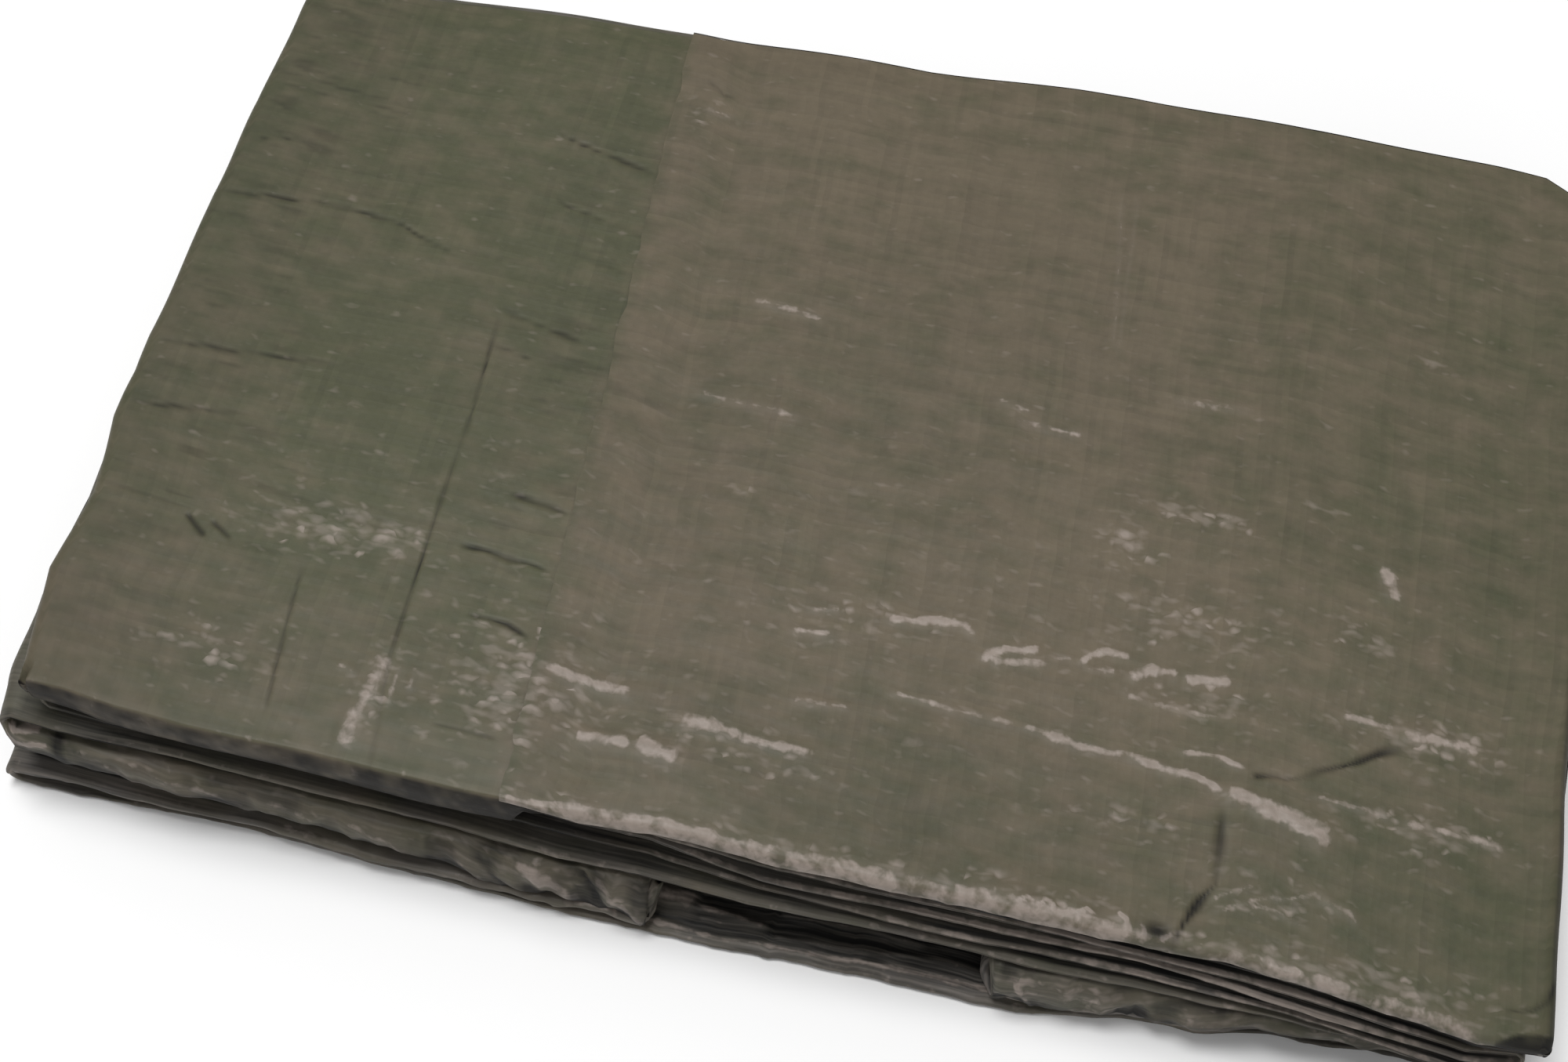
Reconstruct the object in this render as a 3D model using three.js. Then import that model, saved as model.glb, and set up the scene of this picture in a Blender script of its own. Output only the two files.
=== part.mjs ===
// A tarp of woven plastic cloth, folded to a flat bundle: one long sheet laid back and forth.
// Millimetres. X runs along the bundle's long side, Y from its front edge to its back, Z up.

import * as THREE from 'three';

// Cloth
const clothThickness = 3;
const edgeThickness = 1.4;
const edgeRounding = 1.2;

// Height of the bundle at its four corners
const heights = { frontLeft: 54, frontRight: 43, backLeft: 50, backRight: 44 };

// Outline of the stack, seen from above
const leftEnd = -201;
const rightEnd = 200;
const frontEdge = -133;
const backEdge = 137;

// The cloth lies in 11 levels. Levels 2 to 5 are two flaps with a gap between them, turned in
// under the bundle from its ends, and level 11 is the last fold, which stops short of the left end.
const flapTop = 5;
const topLevel = 11;
const leftTopLevel = 10.22;
const leftFlapEnd = -30;
const rightFlapEnd = 65;
const topFoldEnd = -74;
const topFoldStep = 9;
const topFoldSlant = -0.055;
const topFoldSlantReach = 60;

// The share of the height that lies below the middle level: the left flap swells towards its end
const flapShareLine = [
  { x: -210, out: 0.66 },
  { x: -172, out: 0.65 },
  { x: -130, out: 0.57 },
  { x: -90, out: 0.51 },
  { x: -50, out: 0.475 },
  { x: 205, out: 0.47 },
];

// The lower left end spreads out at the front, where the wrapped layers swell past the corner
const lobeReach = 5;
const lobeStart = -40;
const lobeLength = 90;

// The left end isn't quite square to the front edge
const leftEndSkew = -0.016;

// Cutting of the surface: places along the cloth where it is bent, and rows from front to back
const fullStations = [-172, -140, -106, topFoldEnd - topFoldStep, topFoldEnd, -46, -18, 10, 38, 66, 94, 122, 152, 182];
const leftFlapStations = [-165, -128, -91, -54];
const rightFlapStations = [92, 119, 146, 173];
const rowCount = 11;
const turnSteps = 4;

// Each run of the cloth, in order along the sheet: the level it lies on and where it ends.
// The first starts at the free end inside the right flap.
const firstStart = 188;
const runs = [
  { level: 5, end: rightFlapEnd + 1, stations: rightFlapStations },
  { level: 4, end: 199, stations: rightFlapStations },
  { level: 3, end: rightFlapEnd, stations: rightFlapStations },
  { level: 2, end: 198, stations: rightFlapStations },
  { level: 1, end: -209, stations: fullStations },
  { level: 2, end: leftFlapEnd, stations: leftFlapStations },
  { level: 3, end: -208, stations: leftFlapStations },
  { level: 4, end: leftFlapEnd - 1, stations: leftFlapStations },
  { level: 5, end: -204, stations: leftFlapStations },
  { level: 6, end: 199, stations: fullStations },
  { level: 7, end: -198, stations: fullStations },
  { level: 8, end: 197, stations: fullStations },
  { level: 9, end: -200, stations: fullStations },
  { level: 10, end: 200, stations: fullStations },
  { level: 11, end: topFoldEnd, stations: fullStations },
];

// How far each level stands out past the outline, at the front and at the back
const overhangs = [
  { level: 1, front: 5.5, back: -2.0 },
  { level: 2, front: 6.6, back: -1.0 },
  { level: 3, front: 6.4, back: 0.5 },
  { level: 4, front: 5.0, back: -1.5 },
  { level: 5, front: 2.8, back: 0.0 },
  { level: 6, front: 1.6, back: -2.5 },
  { level: 7, front: 0.2, back: -1.0 },
  { level: 8, front: -0.6, back: 1.0 },
  { level: 9, front: -1.2, back: -1.5 },
  { level: 10, front: -1.0, back: -0.5 },
  { level: 11, front: 0.6, back: 0.8 },
];

// The front edge of the whole bundle, and its back edge, read from left to right
const frontLine = [
  { x: -210, out: -1.5 },
  { x: -180, out: 0 },
  { x: -60, out: -0.5 },
  { x: -30, out: -2 },
  { x: 0, out: 0.6 },
  { x: 100, out: 1 },
  { x: 140, out: 3.2 },
  { x: 185, out: 7 },
  { x: 205, out: 4 },
];
const backLine = [
  { x: -210, out: -6 },
  { x: -190, out: -4.5 },
  { x: -157, out: -2 },
  { x: -52, out: 0.6 },
  { x: 0, out: 1.8 },
  { x: 60, out: 5.4 },
  { x: 120, out: 5.6 },
  { x: 183, out: 5 },
  { x: 205, out: -9 },
];

// How much of the lower levels' overhang shows along the front: least at the right end
const lowerLine = [
  { x: -210, out: 0.7 },
  { x: -140, out: 0.95 },
  { x: -95, out: 0.7 },
  { x: -50, out: 1.15 },
  { x: -20, out: 1.3 },
  { x: 70, out: 1.05 },
  { x: 108, out: 0.45 },
  { x: 150, out: -0.4 },
  { x: 205, out: -1.2 },
];

function mix(a, b, t) {
  return a + (b - a) * t;
}

function smooth(t) {
  const c = Math.min(Math.max(t, 0), 1);
  return c * c * (3 - 2 * c);
}

// Reads a line of { x, out } rows at a place along the bundle
function along(line, x) {
  if (x <= line[0].x) return line[0].out;
  for (let i = 1; i < line.length; i++) {
    if (x <= line[i].x) {
      return mix(line[i - 1].out, line[i].out, (x - line[i - 1].x) / (line[i].x - line[i - 1].x));
    }
  }
  return line[line.length - 1].out;
}

// A level's overhang, also between two levels, where the cloth turns from one to the next
function overhang(level, side) {
  const below = overhangs[Math.floor(level) - 1];
  const above = overhangs[Math.ceil(level) - 1];
  return mix(below[side], above[side], level - below.level);
}

// A slow, uneven wave along one level's edge
function ripple(x, level, size) {
  return size * (Math.sin(x / 23 + level * 2.1) + 0.6 * Math.sin(x / 11 + level * 3.7)) / 1.6;
}

// The top fold's free end runs a little askew, and the cloth near it is bent along the same line
function slanted(x, y) {
  const nearness = Math.max(0, 1 - Math.abs(x - topFoldEnd) / topFoldSlantReach);
  return x + topFoldSlant * y * nearness;
}

// How far a turn at the bundle's end moves out or in along the end
function endShift(x, y, level) {
  const isLobe = x < leftFlapEnd - 1 && level <= flapTop;
  const lobe = isLobe ? lobeReach * smooth((lobeStart - y) / lobeLength) : 0;
  const skew = x < leftFlapEnd ? leftEndSkew * y : 0;
  return ripple(y * 1.3, level, 0.9) + skew - lobe;
}

function frontAt(x, level) {
  const lower = level <= flapTop + 1 ? along(lowerLine, x) : 1;
  return frontEdge - along(frontLine, x) - overhang(level, 'front') * lower + ripple(x, level, 0.7);
}

function backAt(x, level) {
  return backEdge + along(backLine, x) + overhang(level, 'back') + ripple(x + 60, level + 0.5, 1.1);
}

// The height of the bundle over a point, with the low swells of its top
function heightAt(x, y) {
  const u = (x - leftEnd) / (rightEnd - leftEnd);
  const v = (y - frontEdge) / (backEdge - frontEdge);
  const front = mix(heights.frontLeft, heights.frontRight, u);
  const back = mix(heights.backLeft, heights.backRight, u);
  const swell = 0.8 * Math.sin(x / 52 + 0.8) * Math.sin(y / 41 + 0.5) + 0.5 * Math.sin(x / 31 - y / 60);
  return mix(front, back, v) + swell;
}

// The middle of the cloth's thickness on a level. The bottom level lies flat on the ground,
// and the upper levels rise together where the top fold ends.
function levelHeight(level, x, y) {
  const bottom = clothThickness / 2;
  const top = heightAt(x, y) - clothThickness / 2;
  const middle = mix(bottom, top, along(flapShareLine, x));
  if (level <= flapTop + 1) return mix(bottom, middle, (level - 1) / flapTop);
  const levelsHere = mix(topLevel, leftTopLevel, smooth((slanted(topFoldEnd, y) - x) / topFoldStep));
  return mix(middle, top, (level - flapTop - 1) / (levelsHere - flapTop - 1));
}

// The stations of the sheet's middle line: along each run, then round the turn to the next
function middleLine() {
  const stations = [{ x: firstStart, level: runs[0].level, turn: null }];
  runs.forEach((run, index) => {
    const start = index === 0 ? firstStart : runs[index - 1].end;
    const way = Math.sign(run.end - start);
    const inner = run.stations.filter((x) => (x - start) * way > 6 && (run.end - x) * way > 6);
    inner.sort((a, b) => (a - b) * way);
    inner.forEach((x) => stations.push({ x, level: run.level, turn: null }));
    if (index + 1 === runs.length) {
      stations.push({ x: run.end, level: run.level, turn: null });
      return;
    }
    for (let step = 0; step <= turnSteps; step++) {
      const turn = { next: runs[index + 1].level, way, share: step / turnSteps };
      stations.push({ x: run.end, level: run.level, turn });
    }
  });
  return stations;
}

// One station of the middle line in one row, which lies a share of the way from front to back
function middlePoint({ x, level, turn }, row) {
  const levelHere = turn ? mix(level, turn.next, turn.share) : level;
  const front = frontAt(x, levelHere);
  const back = backAt(x, levelHere);
  const y = mix(front + row.inset, back - row.inset, row.share);
  if (!turn) {
    const bent = slanted(x, y);
    return { x: bent, y, z: levelHeight(level, bent, y) };
  }
  const end = x + endShift(x, y, Math.min(level, turn.next));
  const from = levelHeight(level, end, y);
  const to = levelHeight(turn.next, end, y);
  const angle = turn.share * Math.PI;
  const radius = Math.abs(to - from) / 2;
  return {
    x: end + turn.way * radius * Math.sin(angle),
    y,
    z: mix(from, to, (1 - Math.cos(angle)) / 2),
  };
}

// Rows from the front edge to the back: the cloth's edge is rounded by a thinner first and last row
function clothRows() {
  const rows = [{ share: 0, inset: 0, thickness: edgeThickness }];
  for (let i = 0; i < rowCount; i++) {
    rows.push({ share: i / (rowCount - 1), inset: edgeRounding, thickness: clothThickness });
  }
  rows.push({ share: 1, inset: 0, thickness: edgeThickness });
  return rows;
}

// Both faces of the cloth, offset from its middle line by half its thickness
function clothFaces(stations, rows) {
  return rows.map((row) => {
    const middle = stations.map((station) => middlePoint(station, row));
    return middle.map((point, i) => {
      const before = middle[Math.max(i - 1, 0)];
      const after = middle[Math.min(i + 1, middle.length - 1)];
      const run = Math.hypot(after.x - before.x, after.z - before.z);
      const normal = { x: -(after.z - before.z) / run, z: (after.x - before.x) / run };
      const half = row.thickness / 2;
      return {
        left: [point.x + normal.x * half, point.y, point.z + normal.z * half],
        right: [point.x - normal.x * half, point.y, point.z - normal.z * half],
      };
    });
  });
}

// The closed skin of the sheet: two faces, the front and back edges, and the two free ends
function clothGeometry() {
  const stations = middleLine();
  const rows = clothRows();
  const faces = clothFaces(stations, rows);
  const positions = [];
  const indices = [];
  const sideSize = rows.length * stations.length;
  for (const side of ['left', 'right']) {
    for (const row of faces) row.forEach((point) => positions.push(...point[side]));
  }
  const at = (side, row, station) => side * sideSize + row * stations.length + station;
  const quad = (a, b, c, d) => indices.push(a, b, c, a, c, d);
  const lastRow = rows.length - 1;
  const lastStation = stations.length - 1;
  for (let r = 0; r < lastRow; r++) {
    for (let s = 0; s < lastStation; s++) {
      quad(at(0, r, s), at(0, r, s + 1), at(0, r + 1, s + 1), at(0, r + 1, s));
      quad(at(1, r, s), at(1, r + 1, s), at(1, r + 1, s + 1), at(1, r, s + 1));
    }
  }
  for (let s = 0; s < lastStation; s++) {
    quad(at(0, 0, s), at(1, 0, s), at(1, 0, s + 1), at(0, 0, s + 1));
    quad(at(0, lastRow, s), at(0, lastRow, s + 1), at(1, lastRow, s + 1), at(1, lastRow, s));
  }
  for (let r = 0; r < lastRow; r++) {
    quad(at(0, r, 0), at(0, r + 1, 0), at(1, r + 1, 0), at(1, r, 0));
    quad(at(0, r, lastStation), at(1, r, lastStation), at(1, r + 1, lastStation), at(0, r + 1, lastStation));
  }
  const geometry = new THREE.BufferGeometry();
  geometry.setAttribute('position', new THREE.Float32BufferAttribute(positions, 3));
  geometry.setIndex(indices);
  return geometry;
}

// The bundle stands on the ground with its outline centred over the origin
function centred(geometry) {
  geometry.computeBoundingBox();
  const { min, max } = geometry.boundingBox;
  geometry.translate(-(min.x + max.x) / 2, -(min.y + max.y) / 2, -min.z);
  geometry.computeVertexNormals();
  return geometry;
}

function tarpMaterial() {
  return new THREE.MeshStandardMaterial({ color: 0x5b574b, roughness: 0.55, metalness: 0, name: 'woven plastic cloth' });
}

const tarp = new THREE.Mesh(centred(clothGeometry()), tarpMaterial());
tarp.name = 'tarp_cloth';

const group = new THREE.Group();
group.add(tarp);

export default group;
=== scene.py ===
import math
import bpy
import numpy as np
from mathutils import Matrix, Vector


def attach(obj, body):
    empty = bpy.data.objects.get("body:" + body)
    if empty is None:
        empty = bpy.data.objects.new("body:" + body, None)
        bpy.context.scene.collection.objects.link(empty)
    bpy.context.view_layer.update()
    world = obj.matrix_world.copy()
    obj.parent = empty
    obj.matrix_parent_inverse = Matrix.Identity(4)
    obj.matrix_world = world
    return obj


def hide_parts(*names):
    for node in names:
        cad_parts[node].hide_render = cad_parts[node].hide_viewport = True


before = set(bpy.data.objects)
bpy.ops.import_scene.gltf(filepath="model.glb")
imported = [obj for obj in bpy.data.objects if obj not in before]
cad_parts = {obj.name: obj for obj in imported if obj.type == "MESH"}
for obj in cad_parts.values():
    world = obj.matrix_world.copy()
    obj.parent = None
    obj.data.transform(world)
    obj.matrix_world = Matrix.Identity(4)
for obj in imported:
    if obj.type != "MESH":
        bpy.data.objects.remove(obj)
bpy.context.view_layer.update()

# A folded tarp of woven plastic cloth. Sizes below are millimetres in the outline's own
# coordinates, as the folds are set out: x along the long side, y from front to back, z up.
mm = 0.001


def asRows(names, *rows):               # a short table: the columns' names, then its rows
    return [dict(zip(names.split(), row)) for row in rows]


bundle = {
    "centre": (-5.97, 1.66),            # where the middle of the outline lies
    "heights": {"frontLeft": 54, "frontRight": 43, "backLeft": 50, "backRight": 44},
    "left": -201, "right": 200, "front": -133, "back": 137,
    "cloth": 3.0,                       # thickness that one level of the stack is set out with
    "flapTop": 5,                       # levels 2 to 5 are the turned-in flaps
    "topLevel": 11, "leftTopLevel": 10.22,
    "topFoldEnd": -74, "topFoldSlant": -0.055, "topFoldStep": 24, "endHalf": 0.35,
    "endSkew": -0.016, "lobeReach": 5, "lobeStart": -95, "lobeLength": 40,
    "slack": 0.3,                       # how far each level's plies keep clear of the next level's
}

# The sheet's runs in order, from the free end inside the right flap to the top fold's end
firstStart = 188
turnLength = 7.0                        # cloth in the turn from one run to the next
runs = asRows(
    "level end",
    (5, 66), (4, 199), (3, 65), (2, 198), (1, -209), (2, -30), (3, -208), (4, -31), (5, -204), (6, 199),
    (7, -198), (8, 197), (9, -200), (10, 200), (11, -74),
)

# Lines along the bundle: x, then how far the edge stands out there
frontLine = [(-210, -1.5), (-180, 0), (-60, -0.5), (-30, -2), (0, 0.6), (100, 1), (140, 3.2),
             (185, 7), (205, 4)]
backLine = [(-210, -6), (-190, -4.5), (-157, -2.2), (-100, -1.0), (-74, -0.2), (-52, 0.6), (0, 1.8),
            (45, 6.1), (62, 7.1), (81, 6.8), (96, 6.2), (115, 5.0), (145, 4.2), (172, 3.5),
            (186, 2.6), (205, -8)]
# How much of that the levels up to the flaps' tops do: x, then the factor
lowerLine = [(-210, 0.7), (-175, 0.58), (-137, 0.56), (-118, 0.72), (-100, 0.95), (-80, 1.05),
             (-63, 1.25), (-45, 1.5), (-30, 1.8), (-17, 1.7), (-6, 1.5), (4, 1.3), (30, 1.1),
             (70, 1.15), (80, 1.05), (100, 0.45), (120, 0.25), (130, -0.2), (139, -0.6), (157, -1.0),
             (166, -1.35), (205, -1.6)]
# How far both ends of the bundle lie further out (left) or further in (right): y, then the distance
leftEndLine = [(-140, -2.4), (-122, -1.6), (-108, 0.9), (-93, 3.0), (-80, 1.2), (-68, 0.2),
               (-54, 1.7), (-42, 3.2), (-34, 2.9), (-26, 2.4), (-13, 3.5), (23, 3.8), (41, 4.0),
               (60, 3.0), (80, 1.8), (100, 1.8), (140, 1.4)]
rightEndLine = [(-140, 2.8), (-90, 2.6), (-40, 1.5), (20, 0.5), (140, 0)]
# How high the flaps' tops lie, as a share of the whole: x, then the share
flapShareLine = [(-210, 0.66), (-172, 0.65), (-130, 0.57), (-90, 0.51), (-50, 0.475), (205, 0.47)]

# The levels' edges, from 1 to 11: how far each stands out in front and behind, half the height of its
# front lip, how strongly the lip is crumpled, how brown (1) or green (0) it is, how much painted shade
# darkens it near the lip, how far in from the lip the light reaches, and how much of the lip has a painted
# highlight
levelEdges = asRows(
    "front back lip crumple tone dull lit shine",
    (5.5, -3.0, 0.9, 0.4, 0.6, 0.1, 1.6, 0.35),
    (6.6, -2.5, 1.5, 0.6, 0.6, 0.0, 2.2, 0.46),
    (6.4, -2.0, 1.1, 0.6, 0.6, 0.3, 0.4, 0.3),
    (5.0, -3.0, 1.1, 0.6, 0.6, 0.3, 0.4, 0.3),
    (2.8, -2.0, 1.6, 1.0, 0.5, 0.15, 2.4, 0.12),
    (1.6, -2.5, 0.75, 0.2, 0.5, 0.0, 0.9, 0.42),
    (0.2, -2.0, 0.62, 0.15, 0.6, 0.1, 0.3, 0.5),
    (-0.6, -1.5, 0.66, 0.15, 0.7, 0.0, 0.5, 0.68),
    (-1.2, -2.0, 0.68, 0.15, 0.7, 0.05, 0.4, 0.62),
    (-1.0, -0.5, 0.7, 0.2, 0.45, 0.1, 0.3, 0.5),
    (0.6, 0.3, 2.1, 0.3, 0.8, 0.0, 1.0, 0.4),
)

# Lips that hang down in front of the levels under them, by level: x, then how far
droopLines = {
    5: [(-212, 6), (-180, 7), (-120, 7), (-84, 9), (-70, 12), (-48, 13.5), (-30, 14.5), (62, 13.5),
        (84, 13), (100, 10), (135, 4), (170, 1.5), (205, 0)],
    10: [(-212, 5), (-190, 7), (-120, 7.5), (-90, 8.5), (-66, 8.5), (-62, 1), (-56, 0), (205, 0)],
    11: [(-74, 1.0), (0, 0.8), (205, 0.5)],
}

# Plies and rolls of the inner cloth on the floor of the gap: points as x and how far in from the lip
# light is the painted light each ply gets in the dark of the gap
floorFolds = asRows(
    "height width light points",
    (0.2, 1.1, 0.95, [(-34, 2.4), (-8, 1.6), (10, 2.4), (70, 2.5)]),
    (1.8, 3.4, 0.95, [(-29, 10.5), (-18, 9.5)]),
    (1.6, 1.2, 0.9, [(-15, 8.6), (-6, 8.2), (3, 7.2)]),
    (0.6, 0.7, 0.55, [(-13, 5.8), (-5, 6.0), (4, 6.4)]),
    (0.8, 0.9, 0.6, [(7, 4.9), (30, 5.3), (50, 7.4), (64, 6.6)]),
    (0.8, 0.8, 0.65, [(8, 11.2), (32, 11.6), (45, 10.4)]),
)
# How crumpled the lips are: x, then the factor
crumpleLine = [(-212, 1.0), (-120, 0.7), (-84, 0.9), (-66, 1.3), (-30, 1.2), (62, 1.3), (140, 1.3),
               (205, 0.9)]
# Levels whose front edge draws back, by level: x, then how far
drawBackLines = {
    11: [(-74, 0.8), (-40, 0.3), (-27, 0.6), (-8, 2.0), (16, 3.0), (38, 2.4), (62, 2.3), (83, 2.2),
        (103, 2.7), (118, 3.8), (135, 3.6), (150, 3.4), (170, 3.2), (188, 1.8), (205, 0.5)],
    10: [(-212, 3), (-190, 2.6), (-174, 0.9), (-155, 0), (-66, 0), (-27, 0.8), (-8, 2.0), (16, 2.8),
        (62, 2.5), (103, 2.3), (118, 3.0), (150, 2.6), (170, 2.2), (205, 0.3)],
    9: [(-212, 5), (-66, 5), (-50, 3.5), (-27, 2.4), (0, 2.2), (62, 2), (118, 2), (150, 1), (205, 0)],
    8: [(-212, 5), (-66, 5), (-50, 3.8), (-27, 2.4), (0, 1.6), (62, 1.5), (118, 1.4), (150, 0.7),
        (205, 0)],
    7: [(-212, 4), (-66, 4), (-50, 3), (-27, 1.6), (0, 0.9), (62, 0.8), (118, 0.8), (205, 0)],
    6: [(-212, 1.8), (-66, 1.6), (-40, 0.6), (205, 0)],
    4: [(-212, 9), (-30, 11), (62, 11), (110, 9), (150, 3), (205, 0)],
    3: [(-212, 8), (-60, 10), (-30, 11), (62, 11), (110, 6), (150, 2), (205, 0)],
    2: [(-212, 0), (-60, 0), (-40, 2), (-30, 2), (62, 2), (100, 0), (205, 0)],
}

# Folds on the faces that hang down beside the gap: points as x and the share of the way down
faceDeep = 14                           # how far the faces hang down
# shine is painted highlight on a fold's ridge and dark is painted shade in its valley
faceFolds = asRows(
    "height width shine dark points",
    (1.0, 1.7, 0.95, 0, [(-66, 0.12), (-61, 0.2), (-53, 0.38), (-47.5, 0.6)]),
    (-0.9, 1.3, 0, 0.7, [(-64, 0.45), (-54, 0.66), (-46, 0.85)]),
    (-1.1, 1.1, 0, 0.9, [(-49, 0.05), (-44.6, 0.33), (-41, 0.58), (-36.5, 0.8)]),
    (1.0, 1.7, 0.9, 0, [(-45, 0.1), (-40, 0.28), (-34, 0.45), (-30.5, 0.62)]),
    (0.7, 1.2, 0.75, 0, [(-49, 0.74), (-42, 0.82), (-35, 0.93)]),
    (0.7, 1.3, 0.6, 0, [(-86, 0.2), (-79, 0.42), (-73, 0.7)]),
    (-0.7, 1.2, 0, 0.6, [(-90, 0.5), (-84, 0.8)]),
    (-0.7, 1.2, 0, 0.6, [(-77, 0.15), (-71, 0.45), (-67, 0.75)]),
    (0.6, 1.4, 0.62, 0, [(-112, 0.2), (-101, 0.35), (-95, 0.6)]),
    (0.5, 1.3, 0.6, 0, [(-138, 0.15), (-128, 0.3), (-119, 0.35)]),
    (0.5, 1.3, 0.6, 0, [(-164, 0.25), (-150, 0.3), (-143, 0.45)]),
    (0.5, 1.2, 0.66, 0, [(-180, 0.3), (-174, 0.55), (-164, 0.6)]),
    (0.8, 1.0, 0.95, 0, [(69, 0.05), (73.5, 0.35), (76, 0.68), (80.6, 0.88), (96, 0.93)]),
    (-0.9, 2.2, 0, 0.6, [(70.5, 0.5), (71.5, 1)]),
    (0.5, 1.6, 0.58, 0, [(84, 0.3), (88, 0.55), (95, 0.5)]),
    (-0.9, 1.1, 0, 0.8, [(98.5, 0.45), (99.5, 1)]),
    (-0.7, 1.0, 0, 0.7, [(103, 0.4), (102, 1)]),
    (0.6, 1.0, 0.85, 0, [(106, 0.55), (113, 0.78), (121, 0.88)]),
)


# Plain curves and noise

def along(line, x):
    return np.interp(x, [row[0] for row in line], [row[1] for row in line])


def smooth(t):
    c = np.clip(t, 0, 1)
    return c * c * (3 - 2 * c)


def mix(a, b, t):
    return a + (b - a) * t


def noise(x, y, seed):                  # smooth values from -1 to 1, one cell to a unit
    size = 128
    table = np.random.default_rng(seed).uniform(-1, 1, (size, size))
    xi, yi = np.floor(x).astype(int), np.floor(y).astype(int)
    fx, fy = smooth(x - xi), smooth(y - yi)
    a, b = table[xi % size, yi % size], table[(xi + 1) % size, yi % size]
    c, d = table[xi % size, (yi + 1) % size], table[(xi + 1) % size, (yi + 1) % size]
    return mix(mix(a, b, fx), mix(c, d, fx), fy)


def layeredNoise(x, y, seed, layers=3):
    total, weight, reach = 0, 1.0, 0
    for layer in range(layers):
        scale = 2 ** layer
        total = total + weight * noise(x * scale + 7.3 * layer, y * scale + 3.1 * layer, seed + layer)
        reach += weight
        weight *= 0.5
    return total / reach


def creased(x, y, seed):                # noise sharpened into creases, from 0 to 1
    return (1 - np.abs(noise(x, y, seed))) ** 2


def softPatch(x, y, spot):              # a soft oval patch, 1 in its middle
    across, deep = (x - spot["x"]) / spot["long"], (y - spot["y"]) / spot["deep"]
    return np.exp(-across ** 2 - deep ** 2)


# The bundle's outline and levels

def perLevel(level, key):               # one column of the levels' edges, also between two levels
    low = np.floor(level).astype(int)
    high = np.ceil(level).astype(int)
    values = np.array([0] + [edge[key] for edge in levelEdges], float)
    return mix(values[low], values[high], level - low)


def nearLevel(level, wanted, sharp=1):  # 1 on one level, falling to 0 toward its neighbours
    return np.clip(1 - np.abs(level - wanted) * sharp, 0, 1)


def lineForLevel(lines, level, x):      # a line that only some levels have
    total = np.zeros_like(x, dtype=float)
    for key, line in lines.items():
        total += along(line, x) * nearLevel(level, key)
    return total


def ripple(x, level, size):
    return size * (np.sin(x / 23 + level * 2.1) + 0.6 * np.sin(x / 11 + level * 3.7)) / 1.6


def frontAt(x, level):
    lower = np.where(level <= bundle["flapTop"] + 1, along(lowerLine, x), 1)
    return bundle["front"] - along(frontLine, x) - perLevel(level, "front") * lower + ripple(x, level, 0.7)


def backAt(x, level):
    return bundle["back"] + along(backLine, x) + perLevel(level, "back") + ripple(x + 60, level + 0.5, 1.1)


def heightAt(x, y):
    corner = bundle["heights"]
    u = (x - bundle["left"]) / (bundle["right"] - bundle["left"])
    v = (y - bundle["front"]) / (bundle["back"] - bundle["front"])
    front = mix(corner["frontLeft"], corner["frontRight"], u)
    back = mix(corner["backLeft"], corner["backRight"], u)
    swell = 0.8 * np.sin(x / 52 + 0.8) * np.sin(y / 41 + 0.5) + 0.5 * np.sin(x / 31 - y / 60)
    return mix(front, back, v) + swell


def topFoldEndAt(y):
    return bundle["topFoldEnd"] + bundle["topFoldSlant"] * y


def levelsOver(x, y):                   # how many levels lie here, fewer left of the top fold
    step = smooth((topFoldEndAt(y) + bundle["topFoldStep"] - x) / bundle["topFoldStep"])
    return mix(bundle["topLevel"], bundle["leftTopLevel"], step)


def stackEnds(x, y):                    # the heights of the lowest and the highest level
    return bundle["cloth"] / 2, heightAt(x, y) - bundle["cloth"] / 2


def middleHeight(x, y):                 # the height of the level that lies on the flaps
    bottom, top = stackEnds(x, y)
    return mix(bottom, top, along(flapShareLine, x))


def pitches(x, y):                      # the spacing of the levels below and above the middle one
    bottom, top = stackEnds(x, y)
    middle = middleHeight(x, y)
    lower = (middle - bottom) / bundle["flapTop"]
    upper = (top - middle) / (levelsOver(x, y) - bundle["flapTop"] - 1)
    return lower, upper


def topPack(x, y):                      # half the top fold's thickness, in full and near its free end
    full = (stackEnds(x, y)[1] - middleHeight(x, y)) / 10 - bundle["slack"]
    nearEnd = smooth((x - topFoldEndAt(y)) / bundle["topFoldStep"])
    return full, mix(bundle["endHalf"], full, nearEnd)


def levelHeight(level, x, y):
    bottom, top = stackEnds(x, y)
    lower, upper = pitches(x, y)
    middle = bundle["flapTop"] + 1
    full, half = topPack(x, y)
    inFlaps = bottom + (level - 1) * lower
    overFlaps = middleHeight(x, y) + (level - middle) * upper
    folded = np.where(level <= middle, inFlaps, overFlaps)
    return np.where(level > bundle["topLevel"] - 0.01, top + full - half, folded)


def halfPack(level, x, y):              # half the thickness of one level's plies
    lower, upper = pitches(x, y)
    tight = np.minimum(lower, upper)
    flapTop = bundle["flapTop"]
    pitch = np.where(level < flapTop + 0.9, lower, np.where(level > flapTop + 1.1, upper, tight))
    return np.where(level > bundle["topLevel"] - 0.5, topPack(x, y)[1], pitch / 2 - bundle["slack"])


def endShift(x, y, level):
    isLobe = (x < -32) & (level <= bundle["flapTop"])
    grown = smooth((bundle["lobeStart"] - y) / bundle["lobeLength"])
    lobe = np.where(isLobe, bundle["lobeReach"] * grown, 0)
    skew = np.where(x < -30, bundle["endSkew"] * y, 0)
    return ripple(y * 1.3, level, 0.9) + skew - lobe


# The sheet's columns: places along the cloth, on a run or in the turn to the next

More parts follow.
